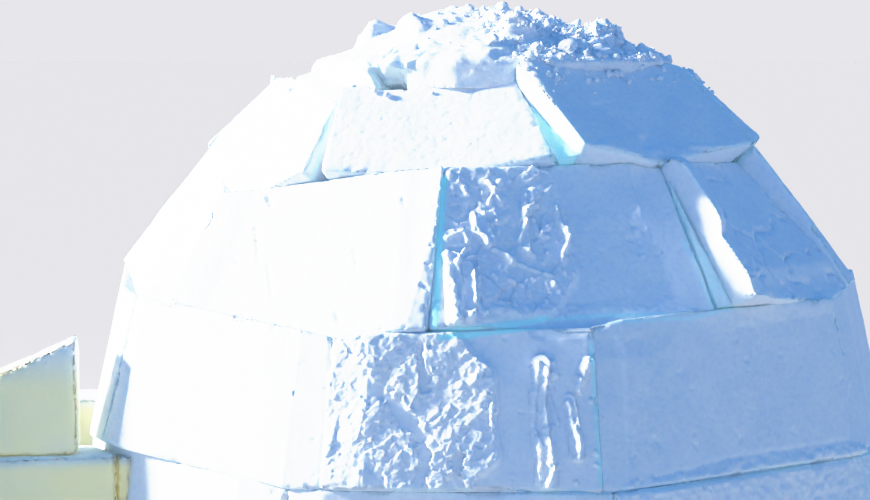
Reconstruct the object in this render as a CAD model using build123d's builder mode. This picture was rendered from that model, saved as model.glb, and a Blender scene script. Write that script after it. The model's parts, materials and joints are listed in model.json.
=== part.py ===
from build123d import *
import os
from dataclasses import dataclass
from math import asin, atan2, cos, degrees, radians, sin, tan

# A snow-block igloo: a dome of leaning flat slabs in five courses, closed by a key block
# under a heap of loose snow, with an arched doorway and an open entrance passage.
# Azimuths are in degrees, from -Y (0) through +X (90). The doorway faces -X (-90).

# Outside of the dome: radius and height of every seam between two courses
BASE_RADIUS = 1545.0
SEAM_1_RADIUS = 1515.0
SEAM_2_RADIUS = 1400.0
SEAM_3_RADIUS = 1075.0
SEAM_4_RADIUS = 795.0
SEAM_5_RADIUS = 370.0
SEAM_1_HEIGHT = 335.0
SEAM_2_HEIGHT = 840.0
SEAM_3_HEIGHT = 1330.0
SEAM_4_HEIGHT = 1585.0
COURSE_5_RISE = 160.0

# Slabs: thickness, the share of the round's bulge that a flat face takes off, packed joints
WALL = 200.0
FLATNESS = 0.45
CHINK_RECESS = 22.0

# Doorway, an arch with upright jambs
DOOR_AZIMUTH = -90.0
DOOR_WIDTH = 660.0
DOOR_HEIGHT = 665.0

# Entrance passage: a base block on each side, and one upright slab on the near wall
PASSAGE_WIDTH = 860.0
PASSAGE_WALL = 220.0
PASSAGE_REACH = 2400.0
PASSAGE_BASE_HEIGHT = 320.0
CHOCK_INSET = 160.0
SLAB_THICKNESS = 150.0
SLAB_SETBACK = 30.0
SLAB_INSET = 130.0
SLAB_LENGTH = 720.0
SLAB_HEIGHT = 400.0
SLAB_LOW_HEIGHT = 90.0

# Vent left open in the edge of the crown: its mouth's height above the seam, and how steeply it
# runs down inwards
VENT_AZIMUTH = -35.0
VENT_INSET = 20.0
VENT_RISE = 17.0
VENT_SLOPE = 35.0
VENT_WIDTH = 160.0
VENT_HEIGHT = 85.0

# Heap of loose snow, set off the crown's middle: how far it is inside the seam, and how far it
# rises to its edge, on to its shoulder and on to its top
HEAP_INSET = 135.0
HEAP_OFFSET = 130.0
HEAP_SLOPE_WIDTH = 230.0
HEAP_EDGE_RISE = 80.0
HEAP_SLOPE_RISE = 105.0
HEAP_TOP_RISE = 60.0

# Broken clods in two rings on the heap: how far up the slope, or over the shoulder, they lie
CLOD_SIZE = 150.0
CLOD_RING_INSET = 220.0
CLOD_RING_RISE = 73.0
CLOD_COUNT = 7
TOP_CLOD_SIZE = 125.0
TOP_CLOD_RING_RADIUS = 170.0
TOP_CLOD_RISE = 8.0
TOP_CLOD_COUNT = 3
CLOD_TILT = 25.0

# How far out of true some slabs and joints are
SMALL_PUSH = 10.0
SMALL_PROUD_END = 30.0
MEDIUM_PUSH = 24.0
UPPER_PROUD_END = 60.0
LARGE_PROUD_END = 140.0
SUNK_FACE = -25.0
SHALLOW_FACE = -8.0
NOTCHED_JOINT = 28.0
GAPING_JOINT_3 = 65.0
GAPING_JOINT_4 = 95.0
LOWEST_CORNER = -200.0
LOWER_CORNER = -160.0
LOW_CORNER = -50.0
DROPPED_CORNER = -20.0
RAISED_CORNER = 12.0
HIGH_CORNER = 40.0

# Sizes that follow from those above
SEAM_5_HEIGHT = SEAM_4_HEIGHT + COURSE_5_RISE
HEAP_RADIUS = SEAM_4_RADIUS - HEAP_INSET
HEAP_EDGE_HEIGHT = SEAM_4_HEIGHT + HEAP_EDGE_RISE
HEAP_SHOULDER_HEIGHT = HEAP_EDGE_HEIGHT + HEAP_SLOPE_RISE
WALL_START = max(BASE_RADIUS, SEAM_1_RADIUS) - CHOCK_INSET

# The whole footprint is centred on the origin, so the dome stands off it by this much
DOME_X = (PASSAGE_REACH - BASE_RADIUS) / 2
FULL_TURN = 360.0
UP = Vector(0, 0, 1)
DOME_BASE = Vector(DOME_X, 0, 0)


@dataclass(frozen=True)
class Seam:
    """A seam between courses: where it meets the outside, and how steeply its bed rises outwards."""

    radius: float
    height: float
    slope: float


@dataclass(frozen=True)
class Joint:
    """An upright joint: its azimuth, how far its foot lies past its head, and its head's extra height."""

    azimuth: float
    slant: float = 0.0
    rise: float = 0.0

    @property
    def head(self):
        return self.azimuth - self.slant / 2

    @property
    def foot(self):
        return self.azimuth + self.slant / 2


@dataclass(frozen=True)
class Setting:
    """How a slab was set: pushed out, turned, leaned, its ends left proud of the round or pared away."""

    push: float = 0.0
    turn: float = 0.0
    lean: float = 0.0
    proud: float = 0.0
    pare_start: float = 0.0
    pare_end: float = 0.0


def outward(azimuth):
    """Level unit vector away from the dome's axis."""
    return Vector(sin(radians(azimuth)), -cos(radians(azimuth)), 0)


def tilted(azimuth, slope):
    """Unit vector away from the dome's axis, raised above level by the slope."""
    return outward(azimuth) * cos(radians(slope)) + UP * sin(radians(slope))


def corner(seam, azimuth, rise=0.0):
    """Point where a seam meets the outside of the dome."""
    return DOME_BASE + outward(azimuth) * seam.radius + UP * (seam.height + rise)


def face_slope(lower_radius, lower_height, upper_radius, upper_height):
    """Angle above level at which a slab between two seams faces."""
    return degrees(atan2(lower_radius - upper_radius, upper_height - lower_height))


def seam_list():
    """The seams from the ground up. Each bed is square to the wall, midway between its two slabs."""
    radii = [BASE_RADIUS, SEAM_1_RADIUS, SEAM_2_RADIUS, SEAM_3_RADIUS, SEAM_4_RADIUS, SEAM_5_RADIUS]
    heights = [0.0, SEAM_1_HEIGHT, SEAM_2_HEIGHT, SEAM_3_HEIGHT, SEAM_4_HEIGHT, SEAM_5_HEIGHT]
    faces = []
    for r0, z0, r1, z1 in zip(radii, heights, radii[1:], heights[1:]):
        faces.append(face_slope(r0, z0, r1, z1))
    slopes = [0.0]
    for below, above in zip(faces, faces[1:] + [90.0]):
        slopes.append((below + above) / 2)
    return [Seam(r, z, s) for r, z, s in zip(radii, heights, slopes)]


def bed_plane(seam, start, end):
    """Flat bed over one slab. All the beds of a seam meet in one point on the dome's axis."""
    meeting = DOME_BASE + UP * (seam.height - seam.radius * tan(radians(seam.slope)))
    first = corner(seam, start.head, start.rise) - meeting
    last = corner(seam, end.head, end.rise) - meeting
    return Plane(origin=meeting, z_dir=first.cross(last))


def joint_plane(lower, upper, joint):
    """Plane of an upright joint, facing along the round: it runs in to the middle of the floor."""
    foot = corner(lower, joint.foot) - DOME_BASE
    head = corner(upper, joint.head) - DOME_BASE
    return Plane(origin=DOME_BASE, z_dir=head.cross(foot))


def face_plane(lower, upper, start, end, setting):
    """Plane of a slab's flat outer face."""
    azimuth = (start.azimuth + end.azimuth) / 2
    bulge = (lower.radius + upper.radius) / 2 * (1 - cos(radians((end.azimuth - start.azimuth) / 2)))
    slope = face_slope(lower.radius, lower.height, upper.radius, upper.height)
    middle = (corner(lower, azimuth) + corner(upper, azimuth)) * 0.5
    middle += tilted(azimuth, slope) * (setting.push - FLATNESS * bulge)
    return Plane(origin=middle, z_dir=tilted(azimuth + setting.turn, slope + setting.lean))


def joint_face_plane(lower, upper, joint, proud):
    """Plane that shaves two neighbours flush over their joint, or that far proud of the round."""
    slope = face_slope(lower.radius, lower.height, upper.radius, upper.height)
    facing = tilted(joint.azimuth, slope)
    return Plane(origin=corner(lower, joint.azimuth) + facing * proud, z_dir=facing)


def paring_plane(lower, upper, joint, side, pared):
    """Plane that pares an end's outer corner: nothing at the upper bed, and most at the lower bed."""
    tangent = outward(joint.foot + 90 * side)
    low_out = corner(lower, joint.foot) - tangent * pared
    low_in = corner(lower, joint.foot) - tilted(joint.foot, lower.slope) * WALL
    normal = (corner(upper, joint.head) - low_out).cross(low_in - low_out)
    if normal.dot(tangent) < 0:
        normal = normal * -1
    return Plane(origin=low_out, z_dir=normal)


def sectors(joints):
    """Start and end joint of each slab of a course whose joints run once round."""
    return list(zip(joints, joints[1:]))


def overlaps(start, end, other_start, other_end):
    """Whether a slab stands on a slab of the course below."""
    apart = (start.foot + end.foot - other_start.head - other_end.head) / 2
    apart = (apart + FULL_TURN / 2) % FULL_TURN - FULL_TURN / 2
    return abs(apart) < (end.foot - start.foot + other_end.head - other_start.head) / 2


def set_slab(lower, upper, joints_below, start, end, setting=Setting(), thickness=WALL):
    """One slab: cut to its two upright joints, its own upper bed and the beds of the slabs below."""
    face = face_plane(lower, upper, start, end, setting)
    with BuildPart() as slab:
        with BuildSketch(face):
            Rectangle(2 * BASE_RADIUS, 2 * BASE_RADIUS)
        extrude(amount=-thickness)
        split(bisect_by=joint_plane(lower, upper, start), keep=Keep.TOP)
        split(bisect_by=joint_plane(lower, upper, end), keep=Keep.BOTTOM)
        split(bisect_by=bed_plane(upper, start, end), keep=Keep.BOTTOM)
        for below_start, below_end in sectors(joints_below):
            if overlaps(start, end, below_start, below_end):
                split(bisect_by=bed_plane(lower, below_start, below_end), keep=Keep.TOP)
        split(bisect_by=joint_face_plane(lower, upper, start, setting.proud), keep=Keep.BOTTOM)
        split(bisect_by=joint_face_plane(lower, upper, end, setting.proud), keep=Keep.BOTTOM)
        if setting.pare_start:
            split(bisect_by=paring_plane(lower, upper, start, -1, setting.pare_start), keep=Keep.BOTTOM)
        if setting.pare_end:
            split(bisect_by=paring_plane(lower, upper, end, 1, setting.pare_end), keep=Keep.BOTTOM)
    return slab


def set_chink(lower, upper, joints_below, start, end, setting):
    """Snow packed into the gap left by a pared end, kept back from the slab's face."""
    whole = Setting(setting.push - CHINK_RECESS, setting.turn, setting.lean)
    chink = set_slab(lower, upper, joints_below, start, end, whole, WALL - CHINK_RECESS)
    with chink:
        split(bisect_by=paring_plane(lower, upper, end, 1, setting.pare_end), keep=Keep.TOP)
    return chink


SEAMS = seam_list()

# Joints of each course, once round, and the slabs that were not set true to the round
DOOR_HALF_ANGLE = degrees(asin(DOOR_WIDTH / 2 / BASE_RADIUS)) - 0.5
DOOR_START = DOOR_AZIMUTH - DOOR_HALF_ANGLE
DOOR_END = DOOR_AZIMUTH + DOOR_HALF_ANGLE
GROUND_JOINTS = [Joint(-180.0), Joint(-60.0), Joint(60.0), Joint(180.0)]
COURSE_1_JOINTS = [
    Joint(DOOR_END),
    Joint(-35.0, -2.0),
    Joint(6.0, 2.0, RAISED_CORNER),
    Joint(46.7),
    Joint(90.0, 2.0),
    Joint(131.5),
    Joint(173.0, -2.0),
    Joint(214.5, 1.0),
    Joint(FULL_TURN + DOOR_START),
    Joint(FULL_TURN + DOOR_END),
]
COURSE_2_JOINTS = [
    Joint(-112.0, 2.0),
    Joint(-68.0, -2.0),
    Joint(-29.5, 0.0, LOW_CORNER),
    Joint(3.7),
    Joint(45.5, 2.0, RAISED_CORNER),
    Joint(87.0, -2.0),
    Joint(128.0, 3.0),
    Joint(169.0),
    Joint(209.0, -3.0),
    Joint(248.0, 2.0),
]
COURSE_3_JOINTS = [
    Joint(-108.0, 2.0),
    Joint(-60.0, 3.0, LOWEST_CORNER),
    Joint(-17.5, 0.0, DROPPED_CORNER),
    Joint(24.0, 2.0),
    Joint(52.7, 2.0, HIGH_CORNER),
    Joint(100.0, -3.0),
    Joint(148.0, 2.0),
    Joint(200.0, 3.0),
    Joint(252.0, 2.0),
]
COURSE_4_JOINTS = [
    Joint(-98.0, 2.0),
    Joint(-44.5, 5.0, LOWER_CORNER),
    Joint(2.4, 10.2, HIGH_CORNER),
    Joint(52.0, -3.0, HIGH_CORNER),
    Joint(102.0, 2.0),
    Joint(156.0, -2.0),
    Joint(209.0, 4.0),
    Joint(262.0, 2.0),
]
COURSE_5_JOINTS = [
    Joint(-74.0), Joint(-4.0), Joint(70.0), Joint(142.0), Joint(214.0), Joint(286.0)
]
COURSE_2_SETTINGS = {
    1: Setting(MEDIUM_PUSH, proud=SMALL_PROUD_END),
    2: Setting(MEDIUM_PUSH, proud=SMALL_PROUD_END),
    3: Setting(SMALL_PUSH, 5.0, 0.0, SMALL_PROUD_END),
    4: Setting(SMALL_PUSH, 0.5, -1.5, SMALL_PROUD_END),
}
COURSE_3_SETTINGS = {
    1: Setting(0.0, 0.0, 5.0, SMALL_PROUD_END),
    2: Setting(SHALLOW_FACE, -1.5, 1.0, SMALL_PROUD_END),
    3: Setting(SUNK_FACE, -1.0, pare_end=GAPING_JOINT_3),
    4: Setting(SMALL_PUSH, 9.0, 11.0, LARGE_PROUD_END),
    5: Setting(0.0, 0.0, 4.0, SMALL_PROUD_END),
}
COURSE_4_SETTINGS = {
    1: Setting(SUNK_FACE, 0.0, -8.0, pare_end=NOTCHED_JOINT),
    2: Setting(SHALLOW_FACE, 2.5, -5.0, UPPER_PROUD_END, NOTCHED_JOINT, GAPING_JOINT_4),
    3: Setting(MEDIUM_PUSH, 4.0, 0.0, UPPER_PROUD_END),
    4: Setting(MEDIUM_PUSH, proud=SMALL_PROUD_END),
    7: Setting(SUNK_FACE),
}


def set_course(number, joints_below, joints, settings, count):
    """The slabs of one course, keyed by their place in it."""
    slabs = {}
    for place, (start, end) in enumerate(sectors(joints)[:count], start=1):
        setting = settings.get(place, Setting())
        slabs[place] = set_slab(SEAMS[number - 1], SEAMS[number], joints_below, start, end, setting)
    return slabs


course_1 = set_course(1, GROUND_JOINTS, COURSE_1_JOINTS, {}, 8)
course_2 = set_course(2, COURSE_1_JOINTS, COURSE_2_JOINTS, COURSE_2_SETTINGS, 9)
course_3 = set_course(3, COURSE_2_JOINTS, COURSE_3_JOINTS, COURSE_3_SETTINGS, 8)
course_4 = set_course(4, COURSE_3_JOINTS, COURSE_4_JOINTS, COURSE_4_SETTINGS, 7)
course_5 = set_course(5, COURSE_4_JOINTS, COURSE_5_JOINTS, {}, 5)

# The doorway is cut through the base course and up into the lintel
with BuildPart() as doorway:
    with BuildSketch(Plane.YZ.offset(DOME_X)):
        Rectangle(DOOR_WIDTH, DOOR_HEIGHT - DOOR_WIDTH / 2, align=(Align.CENTER, Align.MIN))
        with Locations((0, DOOR_HEIGHT - DOOR_WIDTH / 2)):
            Circle(DOOR_WIDTH / 2)
    extrude(amount=-PASSAGE_REACH)
for slab in (course_1[1], course_1[8], course_2[1]):
    with slab:
        add(doorway.part, mode=Mode.SUBTRACT)

# The vent runs down inwards through one slab of the top course
vent_mouth = Plane(
    origin=corner(SEAMS[4], VENT_AZIMUTH, VENT_RISE) - outward(VENT_AZIMUTH) * VENT_INSET,
    x_dir=outward(VENT_AZIMUTH + 90),
    z_dir=tilted(VENT_AZIMUTH, VENT_SLOPE),
)
with BuildPart() as vent:
    with BuildSketch(vent_mouth):
        Rectangle(VENT_WIDTH, VENT_HEIGHT)
    extrude(amount=2 * WALL, both=True)
with course_5[1]:
    add(vent.part, mode=Mode.SUBTRACT)

# Key block: a plug that tapers downwards between the slabs of the top course
with BuildPart() as key_block:
    with BuildSketch(Plane.XY.offset(SEAM_5_HEIGHT)):
        with Locations((DOME_X, 0)):
            Rectangle(4 * SEAM_5_RADIUS, 4 * SEAM_5_RADIUS)
    extrude(amount=-WALL)
    for start, end in sectors(COURSE_5_JOINTS):
        split(bisect_by=bed_plane(SEAMS[5], start, end), keep=Keep.TOP)

# Loose snow heaped over the key block, bedded on whatever lies under it
with BuildPart() as crown_heap:
    with BuildSketch(Plane.XY.offset(SEAM_4_HEIGHT)):
        with Locations((DOME_X, -HEAP_OFFSET)):
            RegularPolygon(HEAP_RADIUS, 13, major_radius=False)
    extrude(amount=HEAP_EDGE_RISE)
    extrude(
        faces().sort_by(Axis.Z)[-1],
        amount=HEAP_SLOPE_RISE,
        taper=degrees(atan2(HEAP_SLOPE_WIDTH, HEAP_SLOPE_RISE)),
    )
    extrude(
        faces().sort_by(Axis.Z)[-1],
        amount=HEAP_TOP_RISE,
        taper=degrees(atan2((HEAP_RADIUS - HEAP_SLOPE_WIDTH) / 2, HEAP_TOP_RISE)),
    )
    for count, ring, height, size in (
        (CLOD_COUNT, HEAP_RADIUS - CLOD_RING_INSET, HEAP_EDGE_HEIGHT + CLOD_RING_RISE, CLOD_SIZE),
        (TOP_CLOD_COUNT, TOP_CLOD_RING_RADIUS, HEAP_SHOULDER_HEIGHT + TOP_CLOD_RISE, TOP_CLOD_SIZE),
    ):
        for number in range(count):
            azimuth = FULL_TURN * number / count
            place = DOME_BASE + Vector(0, -HEAP_OFFSET, 0) + outward(azimuth) * ring + UP * height
            with Locations(Location(place, (CLOD_TILT * (number % 3), CLOD_TILT, azimuth))):
                Box(size, 0.8 * size, size)
    add(key_block.part, mode=Mode.SUBTRACT)
    for slab in list(course_5.values()) + list(course_4.values()):
        add(slab.part, mode=Mode.SUBTRACT)
    add(vent.part, mode=Mode.SUBTRACT)

# Snow packed into the two joints that gape
course_3_chink = set_chink(
    SEAMS[2], SEAMS[3], COURSE_2_JOINTS, COURSE_3_JOINTS[2], COURSE_3_JOINTS[3], COURSE_3_SETTINGS[3]
)
course_4_chink = set_chink(
    SEAMS[3], SEAMS[4], COURSE_3_JOINTS, COURSE_4_JOINTS[1], COURSE_4_JOINTS[2], COURSE_4_SETTINGS[2]
)


def wall_length(start, end, side):
    """A straight length of a passage wall, between two distances from the dome's axis."""
    with BuildPart() as length:
        with BuildSketch(Plane.XY):
            with Locations((DOME_X - (start + end) / 2, side * (PASSAGE_WIDTH + PASSAGE_WALL) / 2)):
                Rectangle(end - start, PASSAGE_WALL)
        extrude(amount=PASSAGE_BASE_HEIGHT)
    return length


def wall_block(start, end, side, dome_start, dome_end):
    """A base block of a passage wall, shaped to the base slab that it stands against."""
    within = wall_length(start, end, side)
    with within:
        split(bisect_by=face_plane(SEAMS[0], SEAMS[1], dome_start, dome_end, Setting()), keep=Keep.BOTTOM)
        split(bisect_by=joint_face_plane(SEAMS[0], SEAMS[1], dome_start, 0.0), keep=Keep.BOTTOM)
        split(bisect_by=joint_face_plane(SEAMS[0], SEAMS[1], dome_end, 0.0), keep=Keep.BOTTOM)
    block = wall_length(start, end, side)
    with block:
        add(within.part, mode=Mode.SUBTRACT)
    return block


near_slab_joints = COURSE_1_JOINTS[0:2]
far_slab_joints = COURSE_1_JOINTS[7:9]
passage_near_chock = wall_block(0.0, WALL_START, -1, *near_slab_joints)
passage_near_base = wall_block(WALL_START, PASSAGE_REACH, -1, *near_slab_joints)
passage_far_base = wall_block(0.0, PASSAGE_REACH, 1, *far_slab_joints)

# A slab with a sloping broken top stands on the near wall
slab_face = -(PASSAGE_WIDTH / 2 + PASSAGE_WALL - SLAB_SETBACK)
slab_start = WALL_START + SLAB_INSET
with BuildPart() as passage_near_slab:
    with BuildSketch(Plane(origin=(DOME_X, slab_face, 0), x_dir=(-1, 0, 0), z_dir=(0, 1, 0))):
        with BuildLine():
            Polyline(
                (slab_start, PASSAGE_BASE_HEIGHT),
                (slab_start, PASSAGE_BASE_HEIGHT + SLAB_HEIGHT),
                (slab_start + SLAB_LENGTH, PASSAGE_BASE_HEIGHT + SLAB_LOW_HEIGHT),
                (slab_start + SLAB_LENGTH, PASSAGE_BASE_HEIGHT),
                close=True,
            )
        make_face()
    extrude(amount=SLAB_THICKNESS)

# One file for each piece
os.makedirs("parts", exist_ok=True)
pieces = {
    "key_block": key_block,
    "crown_heap": crown_heap,
    "course_3_chink": course_3_chink,
    "course_4_chink": course_4_chink,
    "passage_near_chock": passage_near_chock,
    "passage_near_base": passage_near_base,
    "passage_near_slab": passage_near_slab,
    "passage_far_base": passage_far_base,
}
for number, course in enumerate((course_1, course_2, course_3, course_4, course_5), start=1):
    for place, slab in course.items():
        pieces[f"course_{number}_block_{place}"] = slab
for name, piece in pieces.items():
    piece.part.label = name
    export_step(piece.part, f"parts/{name}.step")
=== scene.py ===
"""A snow-block igloo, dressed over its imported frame: cut slabs, packed joints and loose snow."""
import json
import logging
from dataclasses import dataclass, field
from enum import Enum
from itertools import product
from math import atan, cos, radians, sin

import bmesh
import bpy
import numpy as np
from mathutils import Matrix, Vector

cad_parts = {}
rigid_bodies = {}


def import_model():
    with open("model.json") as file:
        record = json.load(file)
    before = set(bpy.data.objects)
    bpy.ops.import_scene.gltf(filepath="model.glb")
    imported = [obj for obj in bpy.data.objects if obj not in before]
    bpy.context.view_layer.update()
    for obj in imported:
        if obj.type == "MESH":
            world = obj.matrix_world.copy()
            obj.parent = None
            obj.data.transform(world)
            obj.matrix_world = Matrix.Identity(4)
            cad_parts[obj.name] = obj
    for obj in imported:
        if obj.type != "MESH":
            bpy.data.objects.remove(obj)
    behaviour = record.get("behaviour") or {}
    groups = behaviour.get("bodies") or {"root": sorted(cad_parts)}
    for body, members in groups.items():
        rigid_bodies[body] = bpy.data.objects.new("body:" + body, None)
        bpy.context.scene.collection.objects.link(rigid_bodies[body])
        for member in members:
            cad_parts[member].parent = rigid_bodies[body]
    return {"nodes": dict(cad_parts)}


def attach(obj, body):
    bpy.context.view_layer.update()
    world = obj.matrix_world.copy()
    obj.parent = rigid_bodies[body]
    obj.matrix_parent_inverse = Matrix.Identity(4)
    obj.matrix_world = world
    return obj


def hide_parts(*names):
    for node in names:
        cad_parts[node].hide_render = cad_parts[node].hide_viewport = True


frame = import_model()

log = logging.getLogger("igloo")

Array = np.ndarray
Colour = tuple[float, float, float]
Span = tuple[float, float]
Piece = bpy.types.Object
Socket = bpy.types.NodeSocket

DOME_X = 0.4275
ROOM_MIDDLE = np.array([DOME_X, 0.0, 0.25])
VENT_AZIMUTH = -35.0
VENT_RADIUS = 0.775
VENT_HEIGHT = 1.60
PHOTO_WIDTH = 870
PHOTO_HEIGHT = 500
QUICK_GROWTH = 1.0


# Noise


@dataclass(frozen=True)
class Noise:
    """Smooth repeatable noise in space, from a hash of the corners of a cubic grid."""

    seed: int = 0

    def corner_values(self, cells: Array) -> Array:
        """Gives each grid corner a fixed value from -1 to 1.

        Args:
            cells: whole-number corner positions, one row each.

        Returns:
            One value for each row.
        """
        c = cells.astype(np.int64)
        h = c[:, 0] * 73856093 ^ c[:, 1] * 19349663 ^ c[:, 2] * 83492791
        h = h ^ (self.seed * 2654435761 + 1013904223)
        h = (h ^ (h >> 13)) * 1274126177 & 0x7FFFFFFF
        h = (h ^ (h >> 15)) * 2246822519 & 0x7FFFFFFF
        return (h & 0xFFFFF) / float(0x7FFFF) - 1.0

    def plain(self, points: Array) -> Array:
        """Smoothly interpolated noise.

        Args:
            points: positions, already divided by the grain size.

        Returns:
            One value from -1 to 1 for each point.
        """
        base = np.floor(points)
        f = points - base
        f = f * f * f * (f * (f * 6 - 15) + 10)
        total = np.zeros(len(points))
        for corner in product((0, 1), repeat=3):
            wx, wy, wz = (f[:, k] if far else 1 - f[:, k] for k, far in enumerate(corner))
            total += wx * wy * wz * self.corner_values(base + np.array(corner))
        return total

    def layered(self, points: Array, size: float, layers: int, crested: bool = False) -> Array:
        """Several sizes of noise added together, each finer and half as strong as the last.

        Args:
            points: positions in metres.
            size: the largest grain in metres.
            layers: how many sizes.
            crested: adds sharp crests, as on broken snow, in place of swells.

        Returns:
            One value for each point: roughly from -1 to 1, or from 0 to 1 with crests.
        """
        step, shift = (2.1, 5.3) if crested else (2.03, 17.17)
        total = np.zeros(len(points))
        strength, weight, scaled = 1.0, 0.0, points / size
        for _ in range(layers):
            value = self.plain(scaled)
            total += strength * ((1 - np.abs(value)) ** 2 if crested else value)
            weight += strength
            strength *= 0.5
            scaled = scaled * step + shift
        return total / weight

    def ridged(self, points: Array, size: float, layers: int) -> Array:
        """Noise with sharp crests: 1 at a crest, down to 0 away from it."""
        return self.layered(points, size, layers, crested=True)

    def tilted(self, points: Array, size: float) -> Array:
        """Flat cells that each lean their own way, with steps where they meet.

        Args:
            points: positions in metres.
            size: how far apart the cells are in metres.

        Returns:
            One value, roughly from -1 to 1, for each point.
        """
        scaled = points / size
        base = np.floor(scaled)
        nearest = np.full(len(points), 9.0)
        height = np.zeros(len(points))
        for step in product((-1, 0, 1), repeat=3):
            cell = base + np.array(step)
            place = np.stack([Noise(self.seed + k).corner_values(cell) for k in range(3)], 1)
            lean = np.stack([Noise(self.seed + k).corner_values(cell) for k in range(3, 6)], 1)
            apart = scaled - cell - 0.5 - 0.5 * place
            far = (apart ** 2).sum(1)
            value = 0.35 * lean[:, 0] + 1.1 * (apart * lean).sum(1)
            height = np.where(far < nearest, value, height)
            nearest = np.minimum(far, nearest)
        return np.clip(height, -1.2, 1.2)


def ramp(x: Array, low: float, high: float) -> Array:
    """Smooth step: 0 up to low, 1 from high on."""
    t = np.clip((x - low) / (high - low), 0.0, 1.0)
    return t * t * (3 - 2 * t)


def segment_distance(points: Array, segments: Array) -> Array:
    """Finds how far each point is from the nearest of some segments.

    Args:
        points: positions in space or in the picture, one row each.
        segments: the two end points of each segment.

    Returns:
        One distance for each point.
    """
    nearest = np.full(len(points), 1e9)
    for a, b in segments:
        along = b - a
        t = np.clip(((points - a) @ along) / max(along @ along, 1e-12), 0, 1)
        nearest = np.minimum(nearest, np.linalg.norm(points - a - t[:, None] * along, axis=1))
    return nearest


def rounded_off(edge: Array, reach: Array, share: float, least: float) -> Array:
    """How far points move to round an edge: a share of the reach there, and nothing beyond it."""
    return -share * reach * np.clip(1 - edge / np.maximum(reach, least), 0, 1) ** 2


# Camera


@dataclass(frozen=True)
class PhotoCamera:
    """The camera, where the photographer stood: its distance from the dome's axis and its aim."""

    distance: float = 6.85
    height: float = 1.65
    azimuth: float = -10.0
    focal_px: float = 1800.0
    turn_px: float = 52.0
    drop_px: float = 188.0
    sensor_width: float = 36.0
    farthest: float = 20000.0

    def place(self) -> Vector:
        """Where the camera stands."""
        a = radians(self.azimuth)
        return Vector((DOME_X + sin(a) * self.distance, -cos(a) * self.distance, self.height))

    def axes(self) -> tuple[Vector, Vector, Vector]:
        """Finds where the camera points.

        Returns:
            Its right, up and forward directions.
        """
        a = radians(self.azimuth)
        pitch = atan(self.drop_px / self.focal_px)
        yaw = atan(self.turn_px / self.focal_px)
        inward = Vector((-sin(a), cos(a), 0))
        right0 = Vector((cos(a), sin(a), 0))
        level = inward * cos(yaw) - right0 * sin(yaw)
        forward = level * cos(pitch) - Vector((0, 0, 1)) * sin(pitch)
        right = forward.cross(Vector((0, 0, 1))).normalized()
        return right, right.cross(forward), forward

    def build(self) -> Piece:
        """Makes the camera and hands it to the scene.

        Returns:
            The camera.
        """
        data = bpy.data.cameras.new("photo_camera")
        data.sensor_width = self.sensor_width
        data.lens = self.focal_px / PHOTO_WIDTH * self.sensor_width
        data.clip_end = self.farthest
        camera = place_object("photo_camera", data)
        right, up, forward = self.axes()
        turned = Matrix((right, up, -forward)).transposed().to_4x4()
        camera.matrix_world = Matrix.Translation(self.place()) @ turned
        bpy.context.scene.camera = camera
        return camera

    def picture(self, points: Array) -> Array:
        """Finds where points fall in the picture.

        Args:
            points: positions in metres, one row each.

        Returns:
            The column and row of each in pixels of the 870 by 500 picture.
        """
        right, up, forward = (np.array(v) for v in self.axes())
        v = points - np.array(self.place())
        depth = v @ forward
        x = PHOTO_WIDTH / 2 + self.focal_px * (v @ right) / depth
        y = PHOTO_HEIGHT / 2 - self.focal_px * (v @ up) / depth
        return np.stack([x, y], 1)


CAMERA = PhotoCamera()


# Strokes: where marks lie, in pixels of the picture


@dataclass(frozen=True)
class Stroke:
    """A mark along a line in the picture: its points and half width in pixels, its height in metres."""

    line: tuple[tuple[float, float], ...]
    width: float
    height: float

    def strength(self, places: Array, jitter: Array | float = 0.0) -> Array:
        """Finds how strongly each point is marked.

        Args:
            places: the points' columns and rows in the picture.
            jitter: noise from -1 to 1 that frays the mark.

        Returns:
            0 outside the mark up to 1 on its line.
        """
        nearest = segment_distance(places, np.array(list(zip(self.line, self.line[1:]))))
        reach = self.width * (1 + 0.45 * jitter)
        return np.clip(1 - (nearest / np.maximum(reach, 0.3)) ** 2, 0, 1)


@dataclass(frozen=True)
class Tear:
    """A patch of torn snow round a line in the picture, lifted evenly from one column to another."""

    patch: Stroke
    lift: float
    start: float
    end: float

    def lifted(self, places: Array) -> Array:
        """How far the patch stands out at each place in the picture."""
        return self.lift * np.clip((places[:, 0] - self.start) / (self.end - self.start), 0, 1)


# Meshes


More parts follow.
